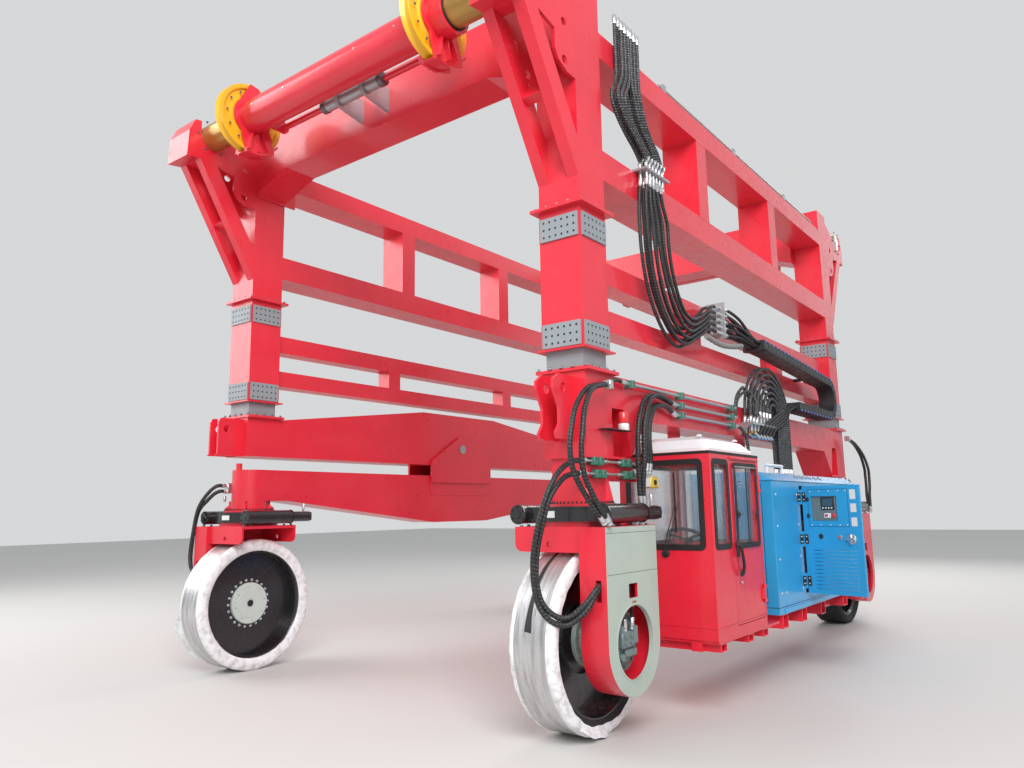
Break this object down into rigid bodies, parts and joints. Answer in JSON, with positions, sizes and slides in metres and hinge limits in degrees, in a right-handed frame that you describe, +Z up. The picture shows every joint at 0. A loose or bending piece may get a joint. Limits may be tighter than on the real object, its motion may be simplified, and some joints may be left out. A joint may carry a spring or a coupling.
{
  "type": "straddle_carrier",
  "caption": "Tall straddle carrier with a telescoping portal frame, steered wheels, side cab, power pack and sheave carriages on guide shafts at each end.",
  "frame": {"origin": "on the ground, at the middle of the four slewing axes", "axes": "+Z up, -Y towards the front, +X towards the cab side"},
  "size_m": [6.0183, 8.68, 5.945],
  "materials": {
    "red_paint": "satin",
    "primer_paint": "matte",
    "grey_paint": "satin",
    "black_paint": "satin",
    "blue_paint": "satin",
    "white_plastic": "gloss",
    "clear_glass": "gloss",
    "dark_plastic": "matte",
    "engine_iron": "matte",
    "bare_steel": "satin",
    "zinc_steel": "satin",
    "hose_rubber": "satin",
    "pad_grey": "satin",
    "bronze": "satin",
    "sheave_yellow": "satin",
    "tyre_rubber": "matte"
  },
  "bodies": {
    "base_right": {"base_beam_right": "red_paint", "inner_legs_right": "grey_paint", "slew_drives_right": "black_paint", "platform_rails": "red_paint", "platform_tubes": "red_paint", "cab_shell": "red_paint", "cab_roof_cap": "white_plastic", "cab_glass": "clear_glass", "cab_console": "dark_plastic", "power_pack_housing": "blue_paint", "power_pack_engine": "engine_iron", "pipe_run": "bare_steel", "hose_bulkheads": "zinc_steel", "pack_hoses": "hose_rubber"},
    "cab_door": {"cab_door": "red_paint", "cab_door_glass": "clear_glass"},
    "pack_door": {"power_pack_door": "blue_paint"},
    "base_left": {"base_beam_left": "red_paint", "inner_legs_left": "grey_paint", "rocker_pin": "bare_steel"},
    "rocker": {"rocker_beam": "red_paint", "slew_drives_left": "black_paint"},
    "mid_right": {"mid_sleeves_right": "red_paint", "mid_truss_right": "red_paint", "guide_pads_right": "pad_grey", "hose_plate_mid": "zinc_steel", "drag_chain": "dark_plastic"},
    "mid_left": {"mid_sleeves_left": "red_paint", "mid_truss_left": "red_paint", "guide_pads_left": "pad_grey"},
    "upper_frame": {"upper_legs": "red_paint", "side_trusses": "red_paint", "cross_beams": "red_paint", "arm_plates": "red_paint", "arm_heads": "red_paint", "arm_struts": "red_paint", "guide_shafts": "bronze", "shift_cylinders": "bare_steel", "upper_pipes": "bare_steel", "hose_plate_upper": "zinc_steel", "leg_hoses": "hose_rubber"},
    "carriage_front": {"carriage_front": "red_paint"},
    "carriage_rear": {"carriage_rear": "red_paint"},
    "sheave_front_right": {"sheave_front_right": "sheave_yellow"},
    "yoke_front_right": {"yoke_front_right": "primer_paint"},
    "wheel_front_right": {"tyre_front_right": "tyre_rubber", "rim_front_right": "black_paint"},
    "sheave_front_left": {"sheave_front_left": "sheave_yellow"},
    "yoke_front_left": {"yoke_front_left": "red_paint"},
    "wheel_front_left": {"tyre_front_left": "tyre_rubber", "rim_front_left": "black_paint"},
    "sheave_rear_right": {"sheave_rear_right": "sheave_yellow"},
    "yoke_rear_right": {"yoke_rear_right": "red_paint"},
    "wheel_rear_right": {"tyre_rear_right": "tyre_rubber", "rim_rear_right": "black_paint"},
    "sheave_rear_left": {"sheave_rear_left": "sheave_yellow"},
    "yoke_rear_left": {"yoke_rear_left": "red_paint"},
    "wheel_rear_left": {"tyre_rear_left": "tyre_rubber", "rim_rear_left": "black_paint"}
  },
  "joints": [
    {"name": "lift_right", "type": "slide", "parent": "base_right", "child": "mid_right", "axis": [0, 0, 1], "range_m": [0, 0.55]},
    {"name": "lift_upper", "type": "slide", "parent": "mid_right", "child": "upper_frame", "axis": [0, 0, 1], "range_m": [0, 0.55]},
    {"name": "lift_left_upper", "type": "slide", "parent": "upper_frame", "child": "mid_left", "axis": [0, 0, -1], "range_m": [0, 0.55]},
    {"name": "lift_left", "type": "slide", "parent": "mid_left", "child": "base_left", "axis": [0, 0, -1], "range_m": [0, 0.55]},
    {"name": "rocker_pivot", "type": "hinge", "parent": "base_left", "child": "rocker", "pos_m": [-2.125, 0, 2.44], "axis": [1, 0, 0], "range_deg": [-1, 1]},
    {"name": "cab_door_hinge", "type": "hinge", "parent": "base_right", "child": "cab_door", "pos_m": [2.862, -1.5175, 1.3], "axis": [0, 0, 1], "range_deg": [0, 100]},
    {"name": "pack_door_hinge", "type": "hinge", "parent": "base_right", "child": "pack_door", "pos_m": [2.863, -0.358, 1.3], "axis": [0, 0, 1], "range_deg": [-5, 105]},
    {"name": "side_shift_front", "type": "slide", "parent": "upper_frame", "child": "carriage_front", "axis": [1, 0, 0], "range_m": [-0.4, 0.4]},
    {"name": "sheave_front_right_spin", "type": "hinge", "parent": "carriage_front", "child": "sheave_front_right", "pos_m": [1.3, -3.985, 5.59], "axis": [1, 0, 0], "continuous": true},
    {"name": "steer_front_right", "type": "hinge", "parent": "base_right", "child": "yoke_front_right", "pos_m": [2.125, -3.25, 1.5], "axis": [0, 0, 1], "range_deg": [-95, 95]},
    {"name": "drive_front_right", "type": "hinge", "parent": "yoke_front_right", "child": "wheel_front_right", "pos_m": [2.105, -3.25, 0.664], "axis": [1, 0, 0], "continuous": true},
    {"name": "sheave_front_left_spin", "type": "hinge", "parent": "carriage_front", "child": "sheave_front_left", "pos_m": [-1.3, -3.985, 5.59], "axis": [1, 0, 0], "continuous": true},
    {"name": "steer_front_left", "type": "hinge", "parent": "rocker", "child": "yoke_front_left", "pos_m": [-2.125, -3.25, 1.5], "axis": [0, 0, 1], "range_deg": [-95, 95]},
    {"name": "drive_front_left", "type": "hinge", "parent": "yoke_front_left", "child": "wheel_front_left", "pos_m": [-2.105, -3.25, 0.664], "axis": [1, 0, 0], "continuous": true},
    {"name": "side_shift_rear", "type": "slide", "parent": "upper_frame", "child": "carriage_rear", "axis": [1, 0, 0], "range_m": [-0.4, 0.4]},
    {"name": "sheave_rear_right_spin", "type": "hinge", "parent": "carriage_rear", "child": "sheave_rear_right", "pos_m": [1.3, 3.985, 5.59], "axis": [1, 0, 0], "continuous": true},
    {"name": "steer_rear_right", "type": "hinge", "parent": "base_right", "child": "yoke_rear_right", "pos_m": [2.125, 3.25, 1.5], "axis": [0, 0, 1], "range_deg": [-95, 95]},
    {"name": "drive_rear_right", "type": "hinge", "parent": "yoke_rear_right", "child": "wheel_rear_right", "pos_m": [2.105, 3.25, 0.664], "axis": [1, 0, 0], "continuous": true},
    {"name": "sheave_rear_left_spin", "type": "hinge", "parent": "carriage_rear", "child": "sheave_rear_left", "pos_m": [-1.3, 3.985, 5.59], "axis": [1, 0, 0], "continuous": true},
    {"name": "steer_rear_left", "type": "hinge", "parent": "rocker", "child": "yoke_rear_left", "pos_m": [-2.125, 3.25, 1.5], "axis": [0, 0, 1], "range_deg": [-95, 95]},
    {"name": "drive_rear_left", "type": "hinge", "parent": "yoke_rear_left", "child": "wheel_rear_left", "pos_m": [-2.105, 3.25, 0.664], "axis": [1, 0, 0], "continuous": true}
  ],
  "couplings": [
    {"joint": "lift_upper", "follows": "lift_right", "ratio": 1},
    {"joint": "lift_left_upper", "follows": "lift_right", "ratio": 1},
    {"joint": "lift_left", "follows": "lift_right", "ratio": 1}
  ]
}
